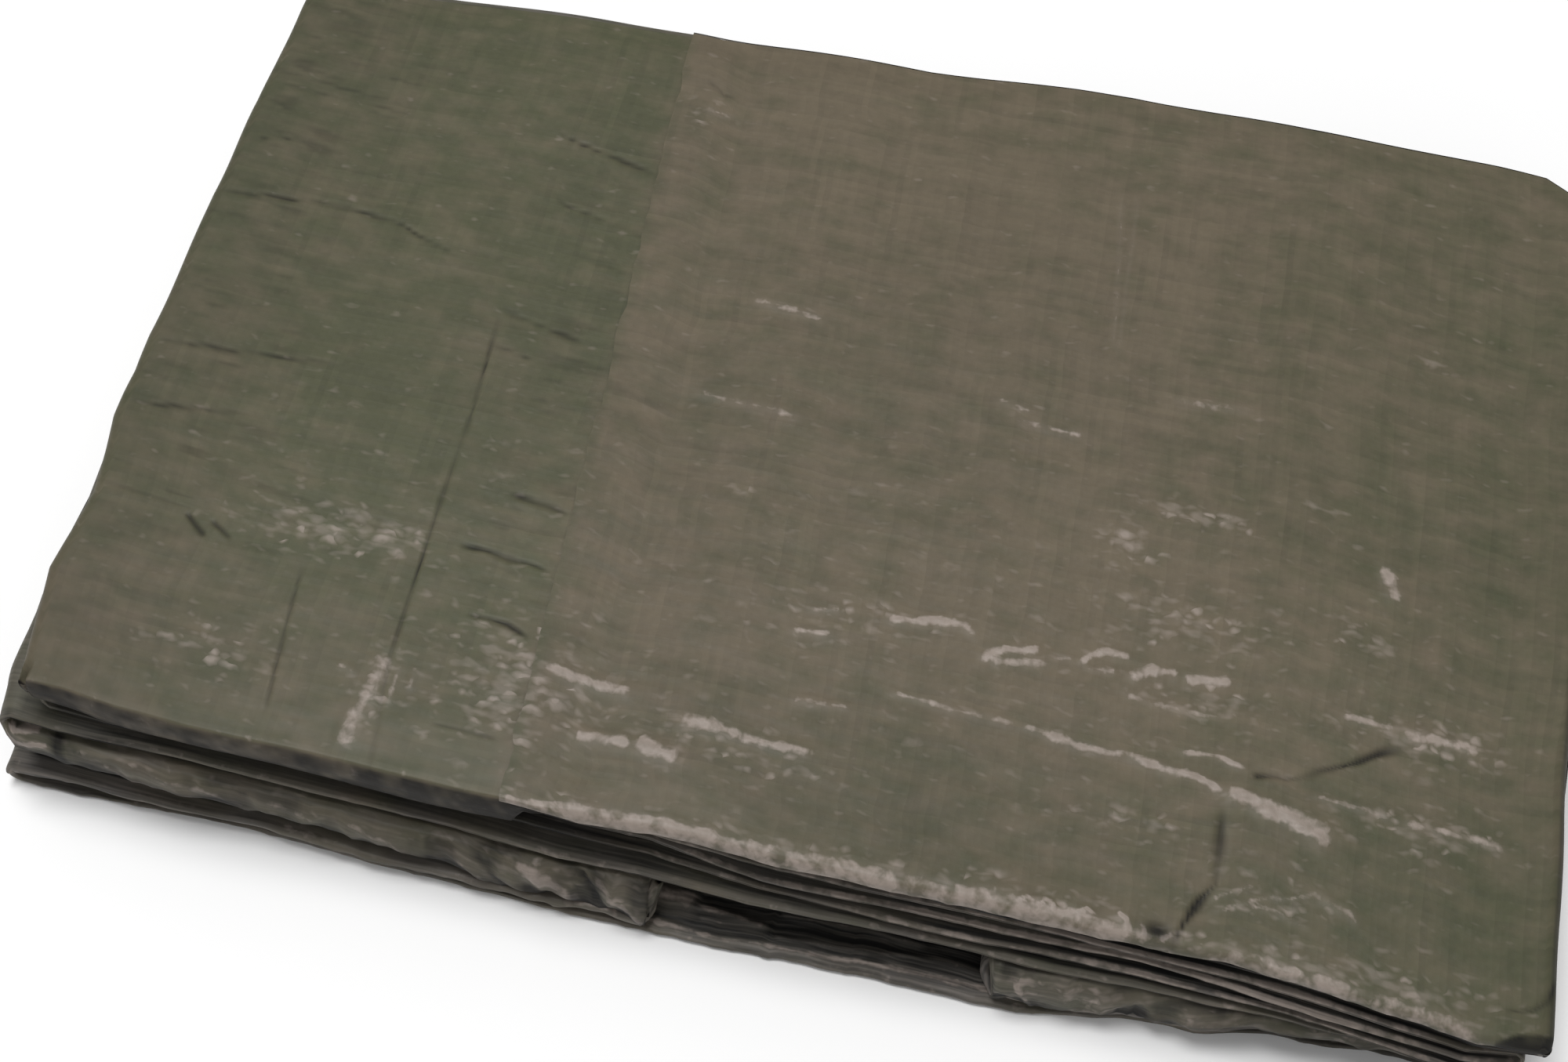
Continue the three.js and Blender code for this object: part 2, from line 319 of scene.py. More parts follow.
def columnTable(spacing, firstRun, lastRun, turnSteps):
    rows = []
    length = 0.0
    for index, run in enumerate(runs):
        before = runs[index - 1] if index > 0 else {"level": 0, "end": firstStart}
        after = runs[index + 1] if index < len(runs) - 1 else {"level": 0}
        start, end, level = before["end"], run["end"], run["level"]
        pairs = (min(level, before["level"]), min(level, after["level"]))
        way = 1 if end > start else -1
        span = abs(end - start)
        count = max(int(round(span / spacing)), 4)
        if firstRun <= index <= lastRun:
            for step in range(count + 1):
                t = step / count
                rows.append((start, end, t, *pairs, level, level, way, 0.0, length + span * t))
        length += span
        for step in range(1, turnSteps if after["level"] else 1):
            share = step / turnSteps
            isIn = firstRun <= index < lastRun
            isHalfIn = (index == lastRun and share <= 0.5) or (index == firstRun - 1 and share >= 0.5)
            if isIn or isHalfIn:
                place = length + turnLength * share
                rows.append((start, end, 1.0, *pairs, level, after["level"], way, share, place))
        length += turnLength
    keys = ("start", "end", "t", "startPair", "endPair", "level", "next", "way", "share", "length")
    values = np.array(rows, float)
    return {key: values[:, i] for i, key in enumerate(keys)}


# Samples across the cloth. One level is a pack of four plies, wrapped so that one lip closes it
# in front and two small ones behind: inner ply, upper ply, front lip, lower ply, inner ply.

plies = {
    "innerEnd": 12.0, "innerShare": 0.3, "lipLength": 16.0, "backLength": 10.0, "backHalf": 1.3,
    "backReach": 1.6, "topBackReach": 0.7, "hangReach": 3.0, "bulge": 0.28, "rimBulge": 0.04,
    "crumpleReach": 16.0,
}
allZones = ("innerUp", "backUp", "up", "front", "low", "backLow", "innerLow")


def unevenSteps(spans):                 # places from 0 to 1, from rows of (length, spacing)
    places = [0.0]
    for length, spacing in spans:
        count = max(int(round(length / spacing)), 1)
        places += [places[-1] + length * (i + 1) / count for i in range(count)]
    return np.array(places) / places[-1]


def acrossSamples(spans, lipSteps, wanted=allZones):
    flat = unevenSteps(spans)
    turns = np.linspace(0, 1, 5)[1:-1]
    lip = np.linspace(0, 1, lipSteps)[1:-1]
    inner = np.linspace(0, 1, 4)
    places = dict(zip(allZones, (inner, turns, flat, lip, 1 - flat[::-1], turns, inner)))
    return [(zone, t) for zone in wanted for t in places[zone]]


def topSwell(x, y):                     # the low, uneven rise and fall of the top
    return 0.4 * layeredNoise(x / 70, y / 34, 61)


def lineDistance(x, y, points):         # distance, the same with a sign for the side, and place along
    best = np.full(x.shape, 1e9)
    signed = np.zeros(x.shape)
    place = np.zeros(x.shape)
    lengths = [math.dist(a, b) for a, b in zip(points, points[1:])]
    whole = sum(lengths)
    gone = 0.0
    for (ax, ay), (bx, by), length in zip(points, points[1:], lengths):
        dx, dy = (bx - ax) / length, (by - ay) / length
        t = np.clip((x - ax) * dx + (y - ay) * dy, 0, length)
        px, py = x - ax - t * dx, y - ay - t * dy
        distance = np.hypot(px, py)
        nearer = distance < best
        best = np.where(nearer, distance, best)
        signed = np.where(nearer, (x - ax) * dy - (y - ay) * dx, signed)
        place = np.where(nearer, (gone + t) / whole, place)
        gone += length
    return best, signed, place


# the line's dark is painted shade; the groove in the lip is relief
def lipGroove(level, swing, x):         # the thin dark line between the plies that a narrow lip shows
    place = 0.5 + 0.12 * noise(x / 26, level * 3.1, 95)
    return np.exp(-((swing - place) / 0.09) ** 2) * (level > 5.6) * (level < 10.2)


# bright is painted highlight and dark is painted shade
def faceRelief(x, swing, level):        # lift, bright and dark of the folds on the hanging faces
    lift, bright, dark = np.zeros_like(x), np.zeros_like(x), np.zeros_like(x)
    down = swing * faceDeep + 0.5 * noise(x / 3.5, swing * 4, 91)
    on = np.clip(1.4 - 2 * np.abs(level - 5), 0, 1) * smooth(swing * 12)
    for fold in faceFolds:
        points = [(px, share * faceDeep) for px, share in fold["points"]]
        distance, _, place = lineDistance(x, down, points)
        width = fold["width"] * (1 + 0.35 * noise(x / 4, down / 4, 93))
        near = np.exp(-(distance / width) ** 2) * smooth(place * 5 + 0.4)
        near = near * smooth((1 - place) * 5 + 0.3) * on
        lift += fold["height"] * near
        bright = np.maximum(bright, fold["shine"] * near)
        dark = np.maximum(dark, fold["dark"] * near)
    return lift, bright, dark


def floorRelief(x, lipDistance):        # lift and light of the folds on the floor of the gap
    lift, light = np.zeros_like(x), np.zeros_like(x)
    inward = lipDistance + 0.35 * noise(x / 6, lipDistance / 3, 17)
    for fold in floorFolds:
        distance = lineDistance(x, inward, fold["points"])[0]
        width = fold["width"] * (1 + 0.35 * noise(x / 5, fold["points"][0][1], 18))
        near = np.exp(-(distance / width) ** 2)
        lift += fold["height"] * near
        light = np.maximum(light, fold["light"] * near)
    return lift, light


def sheetPoints(columns, samples):
    # x, y, z of every sample in every column, and what the finish needs to know there
    c = columns
    level = c["level"] + (c["next"] - c["level"]) * c["share"]
    turning = c["share"] > 0
    alpha = c["share"] * math.pi
    climb = np.where(c["next"] >= c["level"], 1.0, -1.0)
    x0 = mix(c["start"], c["end"], c["t"])
    hangs = lineForLevel(droopLines, level, x0)
    uneven = 1 + 0.25 * noise(x0 / 31, level * 3.3, 11)
    lip = (perLevel(level, "lip") + 0.12 * hangs * (level > 9)) * uneven
    isTop = level > bundle["topLevel"] - 0.5
    thinEnd = smooth((x0 - bundle["topFoldEnd"] - 7) / 16)      # the top fold is thin at its free end
    lip = np.where(isTop, mix(0.5, lip, thinEnd), lip)
    drawBack = lineForLevel(drawBackLines, level, x0)
    droop = hangs * (1 + 0.15 * noise(x0 / 17, level * 5.1, 12)) * (1 - np.sin(alpha) ** 5)
    crumple = perLevel(level, "crumple") * along(crumpleLine, x0)
    front = frontAt(x0, level) + drawBack + lip
    back = backAt(x0, level) - 1.5
    sideUp = np.where(c["way"] > 0, 1.0, -1.0)      # the upper ply faces up on runs to the right
    lipReach = math.pi * lip + droop
    bulge = np.where(level > 8, plies["rimBulge"], plies["bulge"])
    fromEnds = np.minimum(np.abs(x0 - c["start"]), np.abs(x0 - c["end"]))
    points = np.empty((len(samples), len(x0), 3))
    keys = ("lipDistance", "swing", "inside", "crease", "floor", "light", "bright", "dark")
    info = {key: np.empty((len(samples), len(x0))) for key in keys}
    backHalf = np.where(isTop, mix(0.4, plies["backHalf"], thinEnd), plies["backHalf"])
    backReach = np.where(isTop, plies["topBackReach"], plies["backReach"])
    innerHalf = plies["innerShare"] * halfPack(level, x0, (front + back) / 2)
    for row, (zone, t) in enumerate(samples):
        isUp = zone in ("up", "backUp", "innerUp")
        side = 1 if isUp else -1
        travel = t if isUp else 1 - t
        swing = np.zeros_like(x0)               # 0 on the lip's upper half and above, 1 below it
        if zone in ("up", "low"):
            y = mix(back, front, travel)
            nearFront = smooth(1 - (y - front) / plies["lipLength"])
            nearBack = smooth(1 - (back - y) / plies["backLength"])
            n = side * mix(mix(halfPack(level, x0, y), lip, nearFront), backHalf, nearBack)
            swing = np.where(sideUp * side < 0, 1.0, 0.0)
        elif zone == "front":
            y = front - lip * 1.05 * math.sin(t * math.pi)
            n = lip * math.cos(t * math.pi)
            swing = np.where(sideUp > 0, t, 1 - t)
        elif zone in ("backUp", "backLow"):
            y = back + backReach * math.sin(travel * math.pi)
            radius = (backHalf - innerHalf) / 2
            n = side * ((backHalf + innerHalf) / 2 - radius * math.cos(travel * math.pi))
        else:
            y = mix(front + plies["innerEnd"], back, travel)
            n = side * plies["innerShare"] * halfPack(level, x0, y)
        lipDistance = np.zeros_like(x0) if zone == "front" else y - front
        isOuter = zone in ("up", "low", "front")
        # where a lip hangs down, its lower half is drawn down, swells out and tucks back under
        near = smooth(1 - lipDistance / (plies["hangReach"] + droop * 0.5)) * isOuter
        hang = smooth(swing / 0.8) * near
        swell = np.sin(math.pi * np.clip(swing, 0, 1)) * near
        start = c["start"] + endShift(c["start"], y, c["startPair"]) * (c["startPair"] > 0)
        lastEnd = c["endPair"] == 0
        freeEnd = bundle["topFoldSlant"] * y + 0.8 * noise(y / 7, 0.5, 13) + 0.4 * noise(y / 2.5, 0.5, 14)
        end = c["end"] + np.where(lastEnd, freeEnd, endShift(c["end"], y, c["endPair"]))
        x = mix(start, end, c["t"])
        fromZ = levelHeight(c["level"], x, y)
        toZ = levelHeight(c["next"], x, y)
        radius = np.abs(toZ - fromZ) / 2
        midX = np.where(turning, x + c["way"] * radius * np.sin(alpha), x)
        midZ = np.where(turning, (fromZ + toZ) / 2 - climb * radius * np.cos(alpha), fromZ)
        normalX = np.where(turning, -climb * np.sin(alpha), 0)
        normalZ = np.where(turning, c["way"] * np.cos(alpha), c["way"])
        # crumpling: over the lip and a little way behind it, in the cloth's own directions
        s = np.where(swing > 0.5, lipReach * swing + lipDistance, lipReach * swing - lipDistance)
        crease = 1.3 * creased((x0 + 0.9 * s) / 14, (s - 0.3 * x0) / 10 + level * 7, 21)
        crease += 0.7 * creased((x0 - 0.8 * s) / 7.5, (s + 0.4 * x0) / 6 + level * 5, 22) - 1.0
        crease += 0.3 * noise(x0 / 4, s / 3 + level * 3, 23)
        crease *= crumple * smooth(1 - lipDistance / plies["crumpleReach"]) * isOuter
        outward = np.sin(math.pi * np.clip(swing, 0, 1)) * smooth(1 - lipDistance / 3)
        isFloor = (level < 1.01) * (swing < 0.01) * isOuter * smooth((x0 + 40) / 6) * smooth((76 - x0) / 6)
        roll, light = floorRelief(x0, lipDistance) if zone in ("up", "low") else (0, 0)
        fold, bright, dark = faceRelief(x0, swing, level) if zone == "front" else (0, 0, 0)
        groove = 0.3 * lipGroove(level, swing, x0) * (zone == "front")
        points[row, :, 0] = midX + normalX * n
        points[row, :, 1] = y - (0.35 + 0.65 * outward) * crease - bulge * droop * swell - fold + groove
        z = midZ + normalZ * n + 0.35 * crease * (1 - outward)
        points[row, :, 2] = z - droop * hang + roll * isFloor
        fromEdges = np.minimum(np.maximum(lipDistance, 0), back - y)
        inside = np.minimum(fromEdges, fromEnds)
        found = (lipDistance, swing, inside, crease, isFloor, light * isFloor, bright, dark)
        for key, values in zip(keys, found):
            info[key][row] = values
    points[:, :, 2] += topSwell(points[:, :, 0], points[:, :, 1]) * smooth((level - 8) / 2)
    points[:, :, 2] = np.maximum(points[:, :, 2], 0.06)
    px, py = points[:, :, 0], points[:, :, 1]
    atLeft = along(leftEndLine, py) * smooth((-90 - px) / 100)
    points[:, :, 0] -= atLeft + along(rightEndLine, py) * smooth((px - 110) / 85)
    for key, values in (("x0", x0), ("level", level), ("turn", np.sin(alpha)), ("along", c["length"])):
        info[key] = np.broadcast_to(values, info["swing"].shape)
    return points, info


# Meshes from grids of points

def gridObject(name, points, attributes, keep=None):
    rows, columns = points.shape[:2]
    index = np.arange(rows * columns).reshape(rows, columns)
    quads = np.stack([index[:-1, :-1], index[:-1, 1:], index[1:, 1:], index[1:, :-1]], -1)
    quads = quads[keep] if keep is not None else quads.reshape(-1, 4)
    used, flat = np.unique(quads, return_inverse=True)
    faces = flat.reshape(-1, 4)
    spots = points.reshape(-1, 3)[used] * mm
    spots[:, 0] -= bundle["centre"][0] * mm
    spots[:, 1] -= bundle["centre"][1] * mm
    mesh = bpy.data.meshes.new(name)
    mesh.vertices.add(len(spots))
    mesh.vertices.foreach_set("co", spots.ravel())
    mesh.loops.add(faces.size)
    mesh.loops.foreach_set("vertex_index", faces.ravel().astype(np.int32))
    mesh.polygons.add(len(faces))
    mesh.polygons.foreach_set("loop_start", np.arange(0, faces.size, 4, dtype=np.int32))
    mesh.polygons.foreach_set("loop_total", np.full(len(faces), 4, dtype=np.int32))
    mesh.update(calc_edges=True)
    mesh.validate()
    mesh.shade_smooth()
    for key, values in attributes.items():
        isVector = values.ndim == 3
        layer = mesh.attributes.new(key, "FLOAT_VECTOR" if isVector else "FLOAT", "POINT")
        chosen = values.reshape(-1, 3)[used] if isVector else values.reshape(-1)[used]
        layer.data.foreach_set("vector" if isVector else "value", chosen.astype(np.float32).ravel())
    piece = bpy.data.objects.new(name, mesh)
    bpy.context.scene.collection.objects.link(piece)
    print(name, len(faces) * 2, "triangles")
    return piece


def clothAttribute(info, points, lipRow):       # the cloth's own coordinates, in metres
    width = np.concatenate([np.zeros((1, points.shape[1])),
                            np.cumsum(np.linalg.norm(np.diff(points, axis=0), axis=2), axis=0)])
    width += np.median(width[lipRow]) - width[lipRow]
    return np.stack([info["along"] * mm, width * mm, 0 * info["along"]], -1)


# Shader expressions

class Wire:
    def __init__(self, tree, socket):
        self.tree, self.socket = tree, socket

    def maths(self, operation, *values):
        return addNode(self.tree, "ShaderNodeMath", {"operation": operation}, dict(enumerate(values)))

    def __add__(self, other):
        return self.maths("ADD", self, other)

    def __radd__(self, other):
        return self.maths("ADD", other, self)

    def __sub__(self, other):
        return self.maths("SUBTRACT", self, other)

    def __rsub__(self, other):
        return self.maths("SUBTRACT", other, self)

    def __mul__(self, other):
        return self.maths("MULTIPLY", self, other)

    def __rmul__(self, other):
        return self.maths("MULTIPLY", other, self)

    def __truediv__(self, other):
        return self.maths("DIVIDE", self, other)

    def clamped(self):
        return addNode(self.tree, "ShaderNodeClamp", {}, {"Value": self})


def addNode(tree, kind, settings, inputs, output=0):
    node = tree.nodes.new(kind)
    for key, value in settings.items():
        setattr(node, key, value)
    for key, value in inputs.items():
        if isinstance(value, Wire):
            tree.links.new(value.socket, node.inputs[key])
        else:
            node.inputs[key].default_value = value
    return Wire(tree, node.outputs[output])


def mixColours(tree, factor, first, second, blend="MIX"):
    settings = {"data_type": "RGBA", "blend_type": blend}
    return addNode(tree, "ShaderNodeMix", settings, {0: factor, 6: first, 7: second}, 2)


def colour(red, green, blue):           # from the usual 0 to 255 values
    def linear(c):
        c = c / 255
        return c / 12.92 if c <= 0.04045 else ((c + 0.055) / 1.055) ** 2.4
    return (linear(red), linear(green), linear(blue), 1.0)


clothFinish = {
    # The pale pinkish grey is painted highlight on crinkles, the near-black is the colour of painted
    # shade, and the mid grey makes the narrow edges greyer
    "brown": colour(94, 85, 69), "green": colour(73, 74, 53), "paintedHighlight": colour(150, 138, 129),
    "edgeGreyAndPlyShading": colour(86, 83, 80), "dark": colour(20, 19, 18),
    "tape": 0.0019,                     # width of one woven tape, in metres like the next two
    "fleckSize": (0.0068, 0.0031), "dotSize": (0.0036, 0.0025), "fleckSharpness": 2.6,
    "roughness": 0.6, "specular": 0.28, "coat": 0.08, "coatRoughness": 0.35,
    "bump": 0.3, "bumpDepth": 0.0004,
}


def clothMaterial():
    f = clothFinish
    material = bpy.data.materials.new("wovenPlasticCloth")
    material.use_nodes = True
    tree = material.node_tree
    shader = tree.nodes["Principled BSDF"]
    shader.inputs["Specular IOR Level"].default_value = f["specular"]
    shader.inputs["Coat Weight"].default_value = f["coat"]
    shader.inputs["Coat Roughness"].default_value = f["coatRoughness"]

    def attribute(name, output):
        return addNode(tree, "ShaderNodeAttribute", {"attribute_name": name}, {}, output)

    def noiseAt(vector, scale, detail, output=0):
        inputs = {"Vector": vector, "Scale": scale, "Detail": detail}
        return addNode(tree, "ShaderNodeTexNoise", {}, inputs, output)

    def vectorMath(operation, first, second):
        return addNode(tree, "ShaderNodeVectorMath", {"operation": operation}, {0: first, 1: second})

    def stretchedNoise(lengthways, widthways, scale, detail):
        return noiseAt(vectorMath("MULTIPLY", cloth, (lengthways, widthways, 1.0)), scale, detail)

    def otherOutput(wire, name):        # another output of the same node
        return Wire(tree, wire.socket.node.outputs[name])

    cloth = attribute("cloth", "Vector")
    wanted = ("tone", "shine", "flecked", "shade", "edgeGreyAndPlyShading")
    tone, shine, flecked, shade, edgeGreyAndPlyShading = [attribute(name, "Fac") for name in wanted]
    parts = addNode(tree, "ShaderNodeSeparateXYZ", {}, {0: cloth})
    u = parts / f["tape"]
    v = otherOutput(parts, 1) / f["tape"]

    def floor(position):
        return position.maths("FLOOR", position)

    def tapes(position, other, seed):   # each tape has a tone of its own that drifts along it
        spot = {0: floor(position) * 3.7 + seed, 1: other * 0.03, 2: seed}
        return noiseAt(addNode(tree, "ShaderNodeCombineXYZ", {}, spot), 1.0, 3.0)

    def ridge(position):                # the rounded back of a tape
        return position.maths("ABSOLUTE", position.maths("SINE", position * math.pi))

    over = u.maths("MODULO", floor(u) + floor(v), 2)
    weave = ridge(u) * over + ridge(v) * (1 - over)
    streaks = (tapes(u, v, 3.1) + tapes(v, u, 8.4)) - 1.0
    swirl = vectorMath("SUBTRACT", noiseAt(cloth, 260.0, 1.0, 1), (0.5, 0.5, 0.5))
    bent = vectorMath("ADD", cloth, vectorMath("MULTIPLY", swirl, (0.0035, 0.0035, 0.0)))

    # Painted highlight flecks: small bright ovals wherever the flecked attribute asks for them
    def scatter(long, wide):            # small ovals, one to a cell, in as many cells as are flecked
        inputs = {"Vector": vectorMath("MULTIPLY", bent, (1 / long, 1 / wide, 1.0)), "Scale": 1.0}
        settings = {"feature": "F1", "voronoi_dimensions": "2D"}
        distance = addNode(tree, "ShaderNodeTexVoronoi", settings, inputs, "Distance")
        size = addNode(tree, "ShaderNodeSeparateColor", {}, {0: otherOutput(distance, "Color")})
        isThere = ((flecked * 1.1 - otherOutput(size, 1)) * 4.0).clamped()
        oval = ((0.2 + size * 0.28 + flecked * 0.2 - distance) * f["fleckSharpness"]).clamped()
        return oval * isThere * (0.3 + size * 0.5)

    patches = noiseAt(cloth, 24.0, 4.0)
    drift = noiseAt(cloth, 7.0, 2.0)
    wisps = stretchedNoise(1.0, 6.0, 60.0, 4.0)
    bands = stretchedNoise(1.0, 0.1, 75.0, 2.0)
    fine = noiseAt(cloth, 380.0, 2.0)
    grain = noiseAt(cloth, 1000.0, 1.0)
    blotches = stretchedNoise(1.0, 1.5, 85.0, 2.0)
    hue = tone + (patches - 0.5) * 0.8 + (drift - 0.5) * 0.4 + (wisps - 0.5) * 0.2 + (bands - 0.5) * 0.35
    hue = (hue + (blotches - 0.5) * 1.5).clamped()
    base = mixColours(tree, hue, f["green"], f["brown"])
    light = 1.0 + streaks * 0.35 + (drift - 0.5) * 0.25 + (wisps - 0.5) * 0.16 + (fine - 0.5) * 0.2
    light = light + (blotches - 0.5) * 0.24 + (patches - 0.5) * 0.1
    glow = addNode(tree, "ShaderNodeCombineColor", {}, {0: light, 1: light, 2: light})
    base = mixColours(tree, 1.0, base, glow, "MULTIPLY")
    # Thin lines along the narrow edges: painted shade between the plies and painted highlight on them, as
    # strong as the edges are grey
    plyLines = stretchedNoise(0.3, 9.0, 95.0, 2.0) - 0.5
    # Painted highlight: the shine attribute, broken into crinkled bands, and the flecks mix in the pale
    # pinkish grey; the same mask lowers the roughness and raises the bump
    curls = noiseAt(bent, 230.0, 2.0)
    edge = shine + (curls - 0.5) * 1.15 + (fine - 0.5) * 0.45 + (grain - 0.5) * 0.12 - 0.5
    crest = (edge * 2.8).clamped()
    film = ((edge - 0.28) * 3.0).clamped()
    band = (crest - film * 0.25) * (0.4 + fine * 0.9)
    flecks, dots = scatter(*f["fleckSize"]), scatter(*f["dotSize"])
    flecks = flecks.maths("MAXIMUM", flecks, dots)
    smudges = stretchedNoise(1.0, 1.9, 175.0, 1.0)
    smudges = ((smudges + flecked * 0.45 - 0.68) * 5.0).clamped() * 0.36
    flecks = flecks.maths("MAXIMUM", flecks, smudges) + (plyLines * edgeGreyAndPlyShading * 2.6).clamped() * 0.45
    paintedHighlight = (band.maths("MAXIMUM", band, flecks) * 0.9 + shine * 0.16).clamped()
    base = mixColours(tree, (edgeGreyAndPlyShading + (blotches - 0.5) * edgeGreyAndPlyShading).clamped(), base, f["edgeGreyAndPlyShading"])
    base = mixColours(tree, paintedHighlight, base, f["paintedHighlight"])
    # Painted shade: the shade attribute, less the ply lines, darkens the colour toward the near-black
    shade = shade - plyLines * edgeGreyAndPlyShading * 2.6
    base = mixColours(tree, shade.clamped(), base, f["dark"])
    tree.links.new(base.socket, shader.inputs["Base Color"])
    rough = (f["roughness"] + (wisps - 0.5) * 0.3 - paintedHighlight * 0.12 + shade * 0.3).clamped()
    tree.links.new(rough.socket, shader.inputs["Roughness"])
    crinkle = noiseAt(cloth, 330.0, 3.0)
    relief = weave * 0.25 + crinkle * 0.9 + wisps * 0.9 + paintedHighlight * 1.4
    bump = addNode(tree, "ShaderNodeBump", {},
                   {"Strength": f["bump"], "Distance": f["bumpDepth"], "Height": relief})
    tree.links.new(bump.socket, shader.inputs["Normal"])
    return material


# Creases of the top, left and right of the top fold's end, listed from one end to the other

# the dark column of these creases and of the next table is painted shade in the crease
creases = asRows(
    "depth width dark start points",
    (0.42, 0.75, 0.75, 0.3, [(-110, 15), (-108, -18), (-107.6, -60), (-106.5, -98), (-101.5, -134)]),
    (0.3, 0.7, 0.55, 0.3, [(-137.7, -79), (-135.9, -97), (-133, -123)]),
    (0.2, 0.7, 0.5, 0.3, [(-64.3, -101), (-62.5, -117)]),
    (0.5, 0.85, 0.65, 0.3, [(-204, 42), (-180, 43.6), (-165, 44), (-151, 42.5), (-124, 32.8)]),
    (0.3, 0.7, 0.5, 0.3, [(-204, 63.5), (-183, 67)]),
    (0.42, 0.8, 0.65, 0.3, [(-201, -15.5), (-175, -14), (-158, -12.5), (-145, -12.4)]),
    (0.3, 0.7, 0.5, 0.3, [(-202, -37), (-182, -36), (-167, -34.4)]),
    (0.55, 0.9, 0.75, 0.3, [(-111, 86), (-93, 81), (-78, 77)]),
    (0.3, 0.7, 0.5, 0.3, [(-105, 61), (-89, 56.7)]),
    (0.55, 0.9, 0.75, 0.3, [(-109, 18), (-96, 15), (-84, 13)]),
    (0.25, 0.7, 0.45, 0.3, [(-109, 5.5), (-96, 2.5)]),
    (0.5, 0.9, 0.8, 0.3, [(-89, -42.5), (-79.4, -43.8), (-72, -45.6)]),
    (0.5, 0.85, 0.8, 0.3, [(-98, -61), (-89, -62), (-80, -62.7), (-72, -64.4)]),
    (0.45, 0.85, 0.75, 0.3, [(-90, -81.5), (-79, -82.3), (-72, -85)]),
    (0.2, 0.7, 0.45, 0.3, [(-90, -115), (-71, -115.7)]),
    (0.7, 1.1, 0.9, 0.3, [(-201, -129), (-196, -129.6), (-190, -132), (-184, -134)]),
    (0.5, 0.8, 0.75, 0.8, [(-173, -70.6), (-166, -76.1)]),
    (0.5, 0.8, 0.7, 0.8, [(-165.7, -70.9), (-159.1, -74.9)]),
)
brownCreases = asRows(
    "depth width dark start points",
    (0.8, 1.4, 1.0, 0.7, [(122, -80.2), (129, -79.7), (141, -74), (152.6, -66.8), (160, -63)]),
    (0.8, 1.5, 1.0, 0.3, [(114.6, -92), (115, -106.5), (115, -113), (111.7, -118), (108.5, -125),
        (106, -134)]),
    (0.5, 0.9, 0.6, 0.3, [(189, -130), (194.7, -128.4), (199, -125), (201, -118)]),
    (0.15, 0.6, 0.3, 0.3, [(-72, 116), (-66, 112), (-61, 112)]),
)
# The fold line of the corner that is tucked down at the front right
cornerTuck = [(183, -143), (187, -137.5), (192, -134.6), (197, -133.4), (204, -132.6)]
